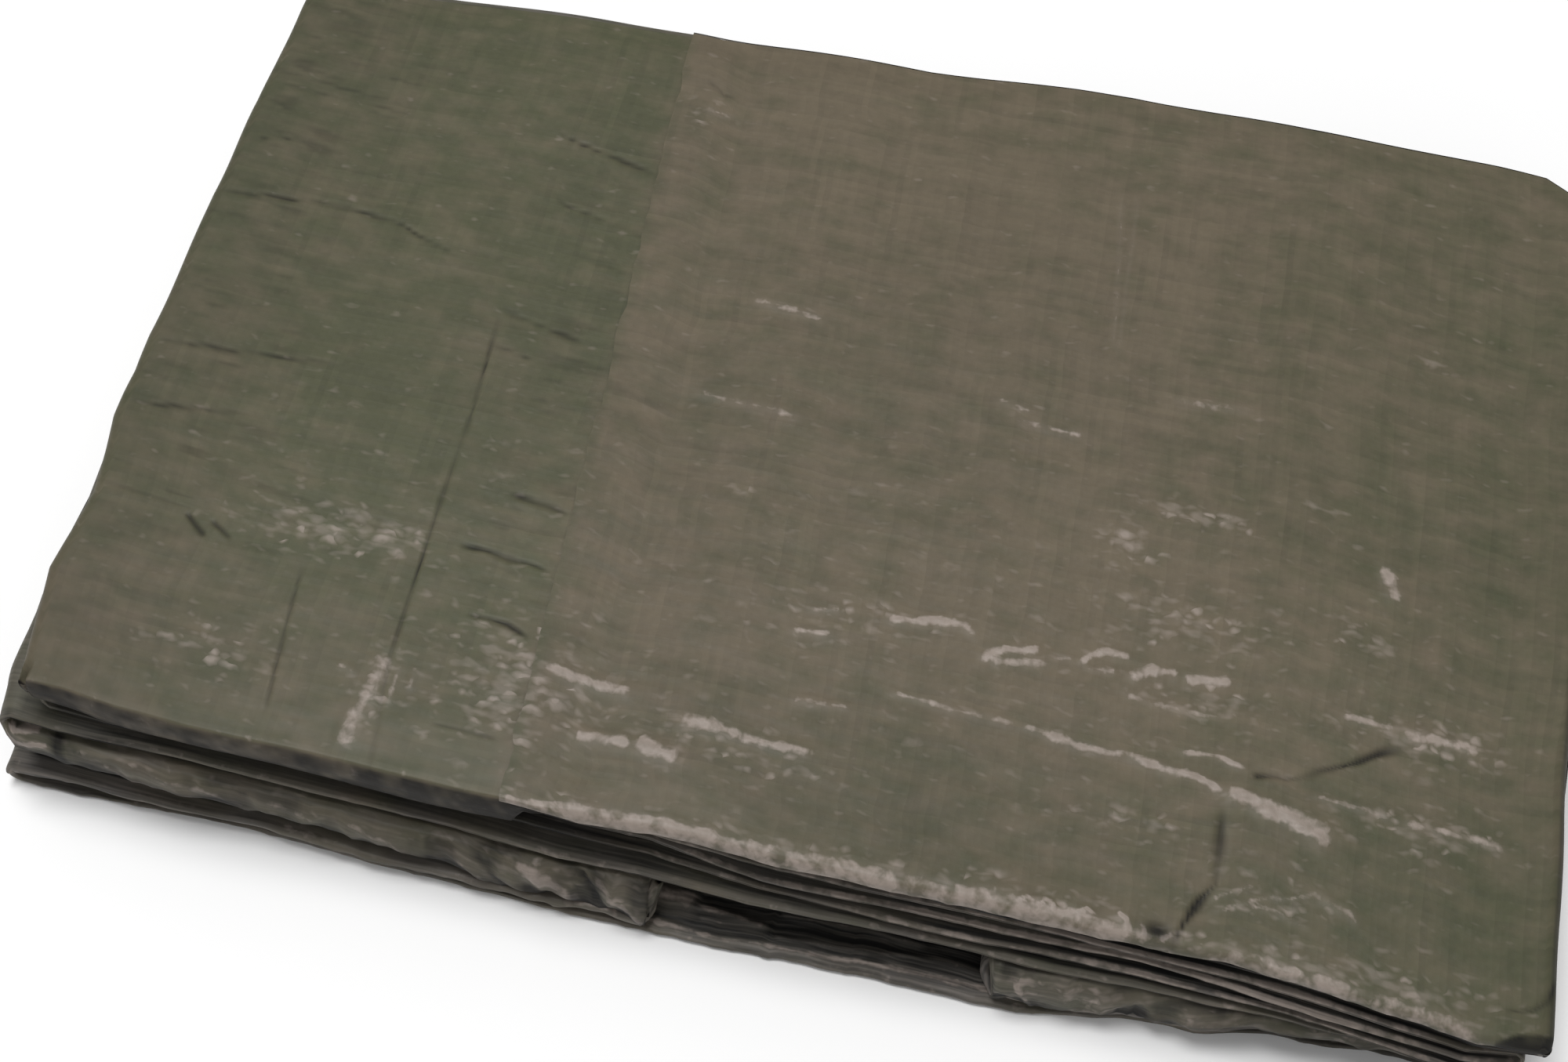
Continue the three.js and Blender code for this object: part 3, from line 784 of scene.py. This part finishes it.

# Bright crinkled ridges, painted highlight on raised relief, and fields of small bright flecks, painted
# highlight too
ridges = asRows(
    "height width shine points",
    (0.3, 1.4, 0.62, [(24, -79), (38.3, -79.9), (48.7, -79.6), (59.3, -80.1)]),
    (0.4, 1.6, 0.8, [(59.3, -80.1), (69.8, -81.1), (78.2, -81.5), (88.6, -82)]),
    (0.6, 1.7, 0.98, [(88, -82), (93, -83.7), (101.2, -84.1), (108.5, -85.1), (115, -86.8)]),
    (0.9, 3.3, 0.96, [(114, -86.4), (122, -86.8), (130.4, -90), (136, -93), (143.5, -94)]),
    (0.4, 1.3, 0.86, [(101, -78), (111.6, -76.8), (119.4, -78.6)]),
    (0.5, 1.6, 0.92, [(19, -57), (25.9, -56.9), (33.7, -55.3), (39.7, -55.1), (44, -57.5)]),
    (0.6, 1.5, 0.95, [(46, -64.3), (48.4, -61), (51.8, -58.8), (61.6, -56.4)]),
    (0.4, 1.6, 0.78, [(48.4, -63.4), (56.1, -61.4), (64.3, -59.9)]),
    (0.4, 1.4, 0.8, [(64, -58.6), (70, -57.2)]),
    (0.7, 1.7, 0.98, [(72.1, -58.5), (74.6, -55.3), (78.1, -53.6), (85, -54)]),
    (0.3, 1.2, 0.8, [(74, -59.8), (82, -59.2)]),
    (0.7, 2.2, 0.9, [(85.4, -60), (90.1, -56.4), (98.4, -54.8)]),
    (0.6, 2.0, 0.92, [(99.5, -56.2), (105.8, -55.1), (112.5, -54.2)]),
    (0.5, 2.0, 0.85, [(-67, -92.4), (-55.8, -93.4), (-41, -95.4)]),
    (0.5, 2.2, 0.9, [(-53, -109.6), (-38, -108.6)]),
    (0.6, 3.2, 0.95, [(-37, -108), (-25, -110.6)]),
    (0.5, 2.4, 0.9, [(-28, -99.2), (-11, -100)]),
    (0.5, 1.9, 0.85, [(-11, -100.4), (8, -101)]),
    (0.3, 1.3, 0.7, [(-1, -87), (15, -86)]),
    (0.3, 1.4, 0.8, [(-5, -66.6), (6, -65.8)]),
    (0.3, 1.3, 0.65, [(-1, -59.6), (7, -57.4)]),
    (0.4, 1.3, 0.68, [(136, -82.7), (158, -84.6)]),
    (0.5, 1.8, 0.75, [(160, -84.6), (177, -85.5), (187, -87.4)]),
    (0.4, 1.6, 0.75, [(142, -58), (156, -59)]),
    (0.5, 2.0, 0.85, [(157, -59.6), (178, -60.4)]),
    (0.4, 1.4, 0.66, [(115, -121.4), (128, -113.8), (140, -109.5), (149, -113.5), (152, -117.2)]),
    (0.3, 1.3, 0.62, [(114.6, -117.4), (125, -110.7)]),
    (0.25, 1.7, 0.68, [(-40, 37.6), (-18, 36.4)]),
    (0.25, 1.7, 0.6, [(-48, 2), (-16, 0.6)]),
    (0.25, 1.7, 0.6, [(36, 17.6), (46, 17.2)]),
    (0.25, 1.7, 0.68, [(43, 13), (62, 12.6)]),
    (0.2, 1.7, 0.58, [(85, 31), (108, 33)]),
    (0.5, 2.2, 0.85, [(149, -9), (153, -19)]),
    (0.4, 3.0, 0.72, [(-107.6, -98), (-108.6, -110), (-110, -119), (-111, -127)]),
    (0.3, 1.2, 0.66, [(-103, -100), (-102.8, -113)]),
    (0.3, 1.6, 0.6, [(-98.6, -100), (-98.8, -107)]),
    (0.2, 1.4, 0.6, [(-119, -104), (-114, -106)]),
    (0.5, 1.2, 1.0, [(103.4, -130.6), (106.7, -128.6)]),
    (0.05, 0.7, 0.46, [(59.6, 102), (63, 72), (65.8, 44)]),
    (0.05, 0.6, 0.4, [(64.5, 104), (66, 72), (67.5, 40)]),
    (0.2, 1.3, 0.66, [(-70, 106), (-66, 104), (-61, 104.6)]),
    (0.5, 0.9, 1.0, [(67.4, -130.6), (67.2, -128.4), (69.3, -126.8), (71.7, -127.2)]),
    (0.5, 0.9, 1.0, [(72.6, -129.4), (72.4, -127.6), (74, -126.2), (76.2, -127.2), (76.6, -129.4)]),
    (0.5, 0.9, 1.0, [(82.3, -130.4), (82.2, -127.9), (84.3, -126.2), (86.5, -127.4)]),
    (0.5, 1.0, 1.0, [(91.7, -125.6), (94.3, -126.9), (95.1, -129.7), (94.0, -132)]),
    (0.4, 0.8, 0.9, [(98.2, -127.7), (99.3, -129.6), (98.9, -132)]),
    (0.2, 1.1, 0.6, [(121, -118), (131, -116), (140, -119)]),
    (0.2, 1.2, 0.6, [(84, -64), (100, -66), (112, -65)]),
)
fleckFields = asRows(
    "x y long deep amount",
    (97, -6, 14, 3, 0.6), (80, -20, 7, 8, 0.45), (100, -40, 20, 8, 0.4), (145, -33, 9, 5, 0.5),
    (131, 5, 9, 2, 0.45), (165, -60, 17, 6, 0.5), (168, -87, 19, 6, 0.45), (88, -101, 22, 5, 0.3),
    (110, -62, 16, 5, 0.4), (131, -114, 20, 8, 0.22), (158, -128, 34, 4, 0.45), (-136, -65, 24, 8, 0.5),
    (-113, -64, 8, 5, 0.4), (-150, -106, 18, 10, 0.36), (-108, -108, 7, 15, 0.4),
    (-74, -100, 18, 20, 0.5), (-70, 104, 5, 6, 0.4), (157, 62, 7, 3, 0.3), (-20, -105, 32, 9, 0.3),
    (10, -60, 20, 8, 0.25), (-30, -25, 5, 2, 0.4), (-120, -40, 60, 30, 0.06), (60, -60, 120, 60, 0.07),
)

# Fields of fine dark hairlines across the cloth's width: shallow wrinkles with painted shade
hairlineFields = asRows(
    "x y long deep amount",
    (-190, 90, 34, 44, 0.5), (-185, -10, 30, 60, 0.4), (-84, 60, 14, 60, 0.35), (-82, -40, 12, 50, 0.4),
    (-150, -60, 50, 20, 0.25), (-60, -20, 26, 60, 0.2), (120, -20, 60, 60, 0.12),
)

# How far the bright crinkle along the top fold's rim reaches, a painted highlight, and the pucker in it, a
# dip darkened with painted shade
rimLine = [(-80, 0.9), (-66, 1.5), (-30, 1.8), (0, 1.9), (30, 2.4), (62, 2.9), (85, 2.9), (96, 2.2),
           (106, 0.9), (118, 1.6), (150, 2.2), (172, 2.2), (184, 1.8), (205, 1.2)]
rimShine = [(-80, 0.3), (-71, 0.45), (-64, 0.78), (0, 0.76), (50, 0.7), (95, 0.68), (106, 0.4),
            (118, 0.62), (150, 0.6), (180, 0.54), (190, 0.2)]
pucker = {"x": 102.4, "y": -128.4, "long": 3.0, "deep": 2.1, "depth": 1.3}


# shine and flecked are painted highlight; shade is painted shade in creases, hairlines and the pucker
def topDetail(x, y, creaseList, ridgeList, seed):
    lift = 0.15 * layeredNoise(x / 26, y / 9, seed + 5) + 0.045 * noise(x / 8, y / 3, seed + 9)
    lift += 0.02 * noise(x / 4, y / 1.6, seed + 11)
    shine = np.zeros_like(x)
    shade = np.zeros_like(x)
    flecked = np.full_like(x, 0.02)
    for crease in creaseList:
        wander = 0.6 * noise(x / 7, y / 7, seed + 17)
        distance, signed, place = lineDistance(x, y + wander, crease["points"])
        width = crease["width"] * (0.75 + 0.5 * noise(x / 6, y / 6, seed + 19))
        fade = smooth(place * 5 + crease["start"]) * smooth((1 - place) * 4 + 0.1)
        fade = fade * np.clip(0.72 + 0.55 * noise(x / 8, y / 10, seed + 21), 0.12, 1.15)
        near = np.exp(-(distance / width) ** 2) * fade
        lift -= crease["depth"] * near
        side = np.exp(-((signed - 1.9 * width) / (1.1 * width)) ** 2) * (distance < 5 * width) * fade
        lift += 0.15 * crease["depth"] * side
        shade += crease["dark"] * near
    for ridge in ridgeList:
        wander = 0.9 * noise(x / 9, y / 9, seed + 23)
        distance, _, place = lineDistance(x, y + wander, ridge["points"])
        width = ridge["width"] * (1 + 0.35 * noise(x / 5, y / 5, seed + 29))
        fade = smooth(place * 6 + 0.35) * smooth((1 - place) * 6 + 0.35)
        near = np.exp(-(distance / width) ** 2) * fade
        lift += ridge["height"] * near * (0.8 + 0.4 * noise(x / 3, y / 2, seed + 31))
        shine = np.maximum(shine, ridge["shine"] * near)
    for field in fleckFields:
        flecked += field["amount"] * softPatch(x, y, field)
    hairs = smooth((noise(x / 15, (y + 0.12 * x) / 1.5, seed + 37) - 0.25) / 0.5)
    hairs *= 0.5 + 0.5 * noise(x / 6, y / 6, seed + 39)
    for field in hairlineFields:
        amount = field["amount"] * hairs * softPatch(x, y, field)
        shade += 0.8 * amount
        lift -= 0.22 * amount
    hole = softPatch(x, y, pucker)
    return lift - pucker["depth"] * hole, shine, np.clip(shade + hole, 0, 1), flecked


# The pieces: the stack of folds, and the two stretches of the sheet that make its top

stack = {
    "innerStop": -25, "underStop": -60, "spacing": 1.4, "turnSteps": 10, "lipSteps": 21,
    # samples from the back edge to the lip: stretch, spacing
    "rows": [(3, 1.5), (8, 4), (20, 10), (200, 28), (17, 5), (10, 2.2), (8, 0.9), (4, 0.6)],
}
depthDark = [(5, 0.84), (6, 0.5), (9, 0.54), (10, 0.9)]     # how dark the depth of each level is


# Painted shade: dark in the depth of the folds and on the floor of the gap, on the lips' lower halves,
# grooves and crumple valleys, near the lips of some levels, on the lips that stand back at the left, under
# the top fold's rim, on the left lip's face, in the left valley and on the right flap's face
def gapShade(info):                     # the dark in the depth of the folds
    inside = info["inside"] + 0.8 * smooth(info["swing"] - 0.1)
    lit = perLevel(info["level"], "lit")
    deep = smooth((inside - lit) / (0.7 + 0.35 * lit))
    x, level, swing = info["x0"], info["level"], info["swing"]
    inward = info["lipDistance"]
    streaks = noise(x / 24, inward / 0.55 + level * 3.1, 71) + 0.5 * noise(x / 7, inward / 0.4, 72)
    rightSide = smooth((x - 30) / 70) * smooth((level - 5.5) / 0.5)
    deep = deep * (along(depthDark, level) + 0.34 * rightSide + 0.2 * streaks)
    floorDark = 0.76 * smooth((inside - 1.3) / 0.6) * (1 - info["light"]) + 0.14 * streaks
    deep = np.clip(mix(deep, floorDark, info["floor"]), 0, 1)
    nearLip = smooth(1 - info["lipDistance"] / 3) * (1 - info["turn"])
    droop = lineForLevel(droopLines, level, x)
    under = (0.3 + 0.55 * smooth(droop / 5)) * smooth((swing - 0.35) / 0.4) * nearLip
    under = under + 0.55 * lipGroove(level, swing, x) * nearLip
    under = under + 0.3 * smooth((-142 - x) / 12) * np.clip(3.5 - level, 0, 1) * nearLip
    under = under + 0.5 * smooth((-150 - x) / 30) * nearLevel(level, 6) * nearLip
    folds = 0.5 * smooth(-1.2 * info["crease"]) * nearLip * smooth(droop / 4)
    dull = perLevel(level, "dull") * smooth(1 - info["lipDistance"] / 30)
    farLeft = smooth((-22 - x) / 36) * smooth((x + 199) / 4)
    hidden = 0.5 * farLeft * np.clip(2 - np.abs(level - 8), 0, 1) * nearLip
    underRim = 0.92 * smooth((x + 64) / 5) * nearLevel(level, 10, 2.5)
    underRim = underRim * smooth(1 - info["lipDistance"] / 8) * (1 - info["turn"])
    rim = 0.72 * smooth((-60 - x) / 4) * nearLevel(level, 10, 3) * smooth((swing - 0.03) / 0.15)
    valley = 0.85 * np.exp(-((x + 192.5) / 1.8) ** 2) * nearLevel(level, 5) * nearLip
    rightDark = 0.45 * smooth((x - 118) / 14) * np.clip(5.5 - level, 0, 1) * nearLip
    total = deep + under + folds + dull + hidden + rim * nearLip + valley + rightDark + underRim
    return np.clip(total + info["dark"], 0, 0.92)


# how grey the narrow edges are, which also sets the strength of the painted shade and highlight of the ply
# lines
def stackGreyAndPlyShading(info):                    # narrow edges are greyer than the broad faces
    broad = np.clip(1.4 - np.abs(info["level"] - 5), 0, 1)
    return 0.62 - 0.4 * broad + 0.25 * noise(info["x0"] / 13, info["level"] * 4.1, 45)


def stackTone(info):
    return perLevel(info["level"], "tone") + 0.3 * noise(info["x0"] / 40, info["level"] * 2.3, 41)


# How much more or less painted highlight the edges over the flaps get: x, then the change
stripShine = [(-60, -0.3), (-25, -0.1), (15, 0.02), (60, 0.16), (85, 0.28), (105, 0.38), (150, 0.36),
              (168, 0.14), (190, -0.2)]


# Painted highlights: bright crinkles on the lips, bands on the turned ends in front, and painted light on
# the plies in the gap
def stackShine(info):                   # bright crinkles on the lips and on the turned ends in front
    x, level = info["x0"], info["level"]
    lipNear = smooth(1 - info["lipDistance"] / 2.5) * (1 - 0.6 * info["swing"])
    crumple = smooth(perLevel(level, "crumple") * along(crumpleLine, x) - 0.6)
    amount = perLevel(level, "shine") + 0.2 * crumple + 0.3 * info["crease"]
    amount = amount + along(stripShine, x) * np.clip(level - 6, 0, 1)
    bands = 0.5 + 0.5 * np.sin(info["swing"] * 19 + 0.4 * x)
    lobe = 0.95 * bands ** 2 * smooth((-193.5 - x) / 3) * smooth(1 - info["lipDistance"] / 10)
    lobe = lobe * smooth((level - 3.2) / 0.8) * smooth((5.6 - level) / 0.4)
    wave = 0.25 * noise(x / 9, level * 5.7, 43)
    lines = (amount + wave) * lipNear * (1 - 0.8 * info["dark"])
    # painted light on the plies on the floor of the gap
    onFloor = info["light"] * (0.82 + 0.3 * noise(x / 3, info["lipDistance"] / 1.5, 46))
    glints = np.maximum(info["bright"], onFloor)
    return np.clip(np.maximum(lines, glints) + lobe, 0, 1)


# how many painted highlight flecks the crumpled lips get
def stackFlecks(info):
    crumple = smooth(perLevel(info["level"], "crumple") * along(crumpleLine, info["x0"]) - 0.4)
    return (0.08 + 0.22 * crumple) * smooth(1 - info["lipDistance"] / 5)


def foldPiece(name, firstRun, lastRun, material):
    columns = columnTable(stack["spacing"], firstRun, lastRun, stack["turnSteps"])
    samples = acrossSamples(stack["rows"], stack["lipSteps"])
    points, info = sheetPoints(columns, samples)
    zones = np.array([zone for zone, t in samples])
    keep = np.ones((points.shape[0] - 1, points.shape[1] - 1), bool)
    # the top of level 10 left of the top fold, and the top of level 11, are pieces of their own
    level = (info["level"][0][:-1] + info["level"][0][1:]) / 2
    x = (info["x0"][0][:-1] + info["x0"][0][1:]) / 2
    isUp = np.isin(zones[:-1], ["up", "front"])
    isLow = np.isin(zones[:-1], ["front", "low"])
    greenTop = (level > 9.45) & (level < 10.05) & (x < topGrid["greenEnd"])
    brownTop = level > 10.45
    keep &= ~(isUp[:, None] & greenTop[None, :])
    keep &= ~(isLow[:, None] & brownTop[None, :])
    # near its free end the top fold is the one sheet, with nothing under it but its turned back edge
    isInner = np.isin(zones[:-1], ["innerUp", "innerLow"])
    isBack = np.isin(zones[:-1], ["backUp", "backLow"])
    keep &= ~(isInner[:, None] & (brownTop & (x < stack["innerStop"]))[None, :])
    keep &= ~(~isBack[:, None] & (brownTop & (x < stack["underStop"]))[None, :])
    lipRow = int(np.argmax(zones == "front"))
    piece = gridObject(name, points, {
        "cloth": clothAttribute(info, points, lipRow), "tone": stackTone(info), "shine": stackShine(info),
        "flecked": stackFlecks(info), "shade": gapShade(info), "edgeGreyAndPlyShading": stackGreyAndPlyShading(info)}, keep)
    piece.data.materials.append(material)
    return piece


topGrid = {
    "greenEnd": -54, "greenSpacing": 0.62, "brownSpacing": 0.95, "turnSteps": 14, "lipSteps": 15,
    # samples from the back edge to the lip: stretch, spacing
    "rows": [(3, 1), (182, 1.25), (84, 0.66), (6, 0.6)],
}


def selectColumns(columns, mask):
    return {key: values[mask] for key, values in columns.items()}


def topPiece(name, isBrown, material):
    spacing = topGrid["brownSpacing"] if isBrown else topGrid["greenSpacing"]
    columns = columnTable(spacing, 12, 14, topGrid["turnSteps"])
    level = columns["level"] + (columns["next"] - columns["level"]) * columns["share"]
    x = mix(columns["start"], columns["end"], columns["t"])
    if isBrown:
        columns = selectColumns(columns, level > 10.42)
        samples = acrossSamples(topGrid["rows"], topGrid["lipSteps"], ("front", "low"))
    else:
        columns = selectColumns(columns, (level > 9.42) & (level < 10.05) & (x < topGrid["greenEnd"] + 2))
        samples = acrossSamples(topGrid["rows"], topGrid["lipSteps"], ("up", "front"))
    points, info = sheetPoints(columns, samples)
    x, y = points[:, :, 0], points[:, :, 1]
    creaseList = brownCreases if isBrown else creases
    lift, shine, shade, flecked = topDetail(x, y, creaseList, ridges, 60 if isBrown else 80)
    fromFreeEnd = x - topFoldEndAt(y)
    if isBrown:
        lift = lift * smooth((fromFreeEnd - 1) / 14)
    else:
        lift = np.where(lift > 0, lift * smooth((-1 - fromFreeEnd) / 6), lift)
    zones = np.array([zone for zone, t in samples])
    onTop = np.isin(zones, ["up", "low"])[:, None] * smooth((info["lipDistance"] + 1) / 4)
    onLevel = smooth((info["level"] - 10.6) / 0.3) if isBrown else smooth((info["level"] - 9.7) / 0.25)
    onTop = onTop * onLevel
    points[:, :, 2] += np.maximum(lift, -0.95) * onTop
    onLip = info["swing"] * (info["lipDistance"] < 0.1)
    wave = noise(x / 7, y / 7, 52)
    toFront = smooth((-62 - y) / 45)
    if isBrown:
        # painted shade on the corner turned down at the front right
        corner = lineDistance(x, y, cornerTuck)[1] * smooth((x - 165) / 10)
        isCorner = smooth(corner / 1.2)
        # painted highlight along the rim, with more flecks near it
        reach = info["lipDistance"] / along(rimLine, x) + 0.35 * noise(x / 3, y / 3, 55)
        reach = reach + 0.15 * noise(x / 9, y / 9, 56)
        rim = smooth((1.45 - reach) / 1.15) * (1 - smooth((onLip - 0.62) / 0.3)) * (1 - isCorner)
        beads = 0.16 * wave + 0.14 * noise(x / 2.4, y / 5, 58)
        shine = np.maximum(shine, rim * (along(rimShine, x) + beads))
        flecked = flecked + 0.24 * smooth(1.5 - reach / 2.4) * (1 - isCorner)
        shade = shade + isCorner * (0.84 + 0.25 * noise(x / 3, y / 2.5, 57))
        # painted shade on the right edge as it turns down
        shade = shade + 0.5 * smooth((x - 199) / 1.2)
        points[:, :, 2] -= 1.4 * smooth(corner / 3)
        tone = 0.92 - 0.36 * smooth((x - 50) / 120) + 0.12 * noise(x / 60, y / 60, 53) - 0.3 * toFront
        tone = tone - 0.35 * smooth((4 - fromFreeEnd) / 4)
    else:
        # painted highlight along the top edge of the lip
        shine = np.maximum(shine, 0.34 * smooth(1.2 - info["lipDistance"] / 2) * (1 + 0.5 * wave))
        tone = 0.12 + 0.22 * smooth((-150 - x) / 40) + 0.12 * noise(x / 50, y / 50, 54) + 0.3 * toFront
        tone = tone + 0.3 * smooth((fromFreeEnd + 5) / 5)
        # painted shade on the lip's face, broken by mottles of painted highlight
        mottle = noise(x / 6, onLip * 3, 59) + 0.7 * noise(x / 2.2, onLip * 7, 60)
        rimDark = 0.64 + 0.2 * smooth((x + 112) / 14) + 0.14 * smooth((x + 68) / 4) + 0.22 * mottle
        isLip = smooth((onLip - 0.03) / 0.14)
        shine = np.maximum(shine, 0.62 * isLip * smooth(0.7 * mottle) * smooth(1.4 - 1.6 * onLip))
        tone = tone + 0.6 * isLip
        shade = shade + rimDark * smooth((onLip - 0.03) / 0.14 + 0.3 * wave)
        # painted shade toward the far left
        shade = shade + 0.1 * smooth((-140 - x) / 60)
    # painted shade on the lower part of the lip, and a little toward the front
    shade = shade + 0.88 * smooth((onLip - 0.58) / 0.22) + 0.06 * toFront
    lipRow = int(np.argmax(zones == "front"))
    piece = gridObject(name, points, {
        "cloth": clothAttribute(info, points, lipRow), "tone": tone, "shine": shine, "flecked": flecked,
        "shade": np.clip(shade, 0, 0.93), "edgeGreyAndPlyShading": (0.4 if isBrown else 0.1) * onLip})
    piece.data.materials.append(material)
    return piece


cloth = clothMaterial()
rightFlap = foldPiece("tarp_right_flap", 0, 3, cloth)
baseFolds = foldPiece("tarp_base_folds", 4, 8, cloth)
middleFolds = foldPiece("tarp_middle_folds", 9, 11, cloth)
upperFolds = foldPiece("tarp_upper_folds", 12, 14, cloth)
underTop = topPiece("tarp_under_fold", False, cloth)
topFold = topPiece("tarp_top_fold", True, cloth)
pieces = [rightFlap, baseFolds, middleFolds, upperFolds, underTop, topFold]
print("cloth made")

for piece in pieces:
    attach(piece, "root")
    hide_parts("tarp_cloth")


# Floor, light and camera

studio = {"floor": 0.97, "world": 0.39, "key": 35.0, "fill": 1.0}


def plainMaterial(name, value, roughness):
    material = bpy.data.materials.new(name)
    material.use_nodes = True
    shader = material.node_tree.nodes["Principled BSDF"]
    shader.inputs["Base Color"].default_value = (value, value, value, 1)
    shader.inputs["Roughness"].default_value = roughness
    return material


def addFloor():
    bpy.ops.mesh.primitive_plane_add(size=6, location=(0, 0, 0))
    floor = bpy.context.object
    floor.name = "floor"
    floor.data.materials.append(plainMaterial("paleFloor", studio["floor"], 0.9))


def addLight(name, power, size, spot, target):
    data = bpy.data.lights.new(name, "AREA")
    data.energy = power
    data.shape = "RECTANGLE"
    data.size, data.size_y = size
    light = bpy.data.objects.new(name, data)
    light.location = spot
    light.rotation_euler = (Vector(target) - Vector(spot)).to_track_quat("-Z", "Y").to_euler()
    bpy.context.scene.collection.objects.link(light)


camera = {"spot": (56.8, -350.1, 583.5), "turn": 12.66, "lift": 59.03, "lens": 52.2}


def addCamera():
    data = bpy.data.cameras.new("camera")
    data.lens = camera["lens"]
    data.sensor_width = 36
    eye = bpy.data.objects.new("camera", data)
    x, y, z = camera["spot"]
    eye.location = ((x - bundle["centre"][0]) * mm, (y - bundle["centre"][1]) * mm, z * mm)
    eye.rotation_euler = (math.radians(90 - camera["lift"]), 0, math.radians(camera["turn"]))
    bpy.context.scene.collection.objects.link(eye)
    bpy.context.scene.camera = eye


addFloor()
addCamera()
addLight("overhead", studio["key"], (1.1, 0.8), (-0.35, 0.15, 2.15), (0, 0, 0))
addLight("front", studio["fill"], (1.6, 0.6), (0.2, -1.3, 0.7), (0, 0, 0.02))
world = bpy.data.worlds.new("studio")
world.use_nodes = True
world.node_tree.nodes["Background"].inputs["Color"].default_value = (1, 1, 1, 1)
world.node_tree.nodes["Background"].inputs["Strength"].default_value = studio["world"]
bpy.context.scene.world = world
bpy.context.scene.view_settings.view_transform = "Standard"
print("studio set")
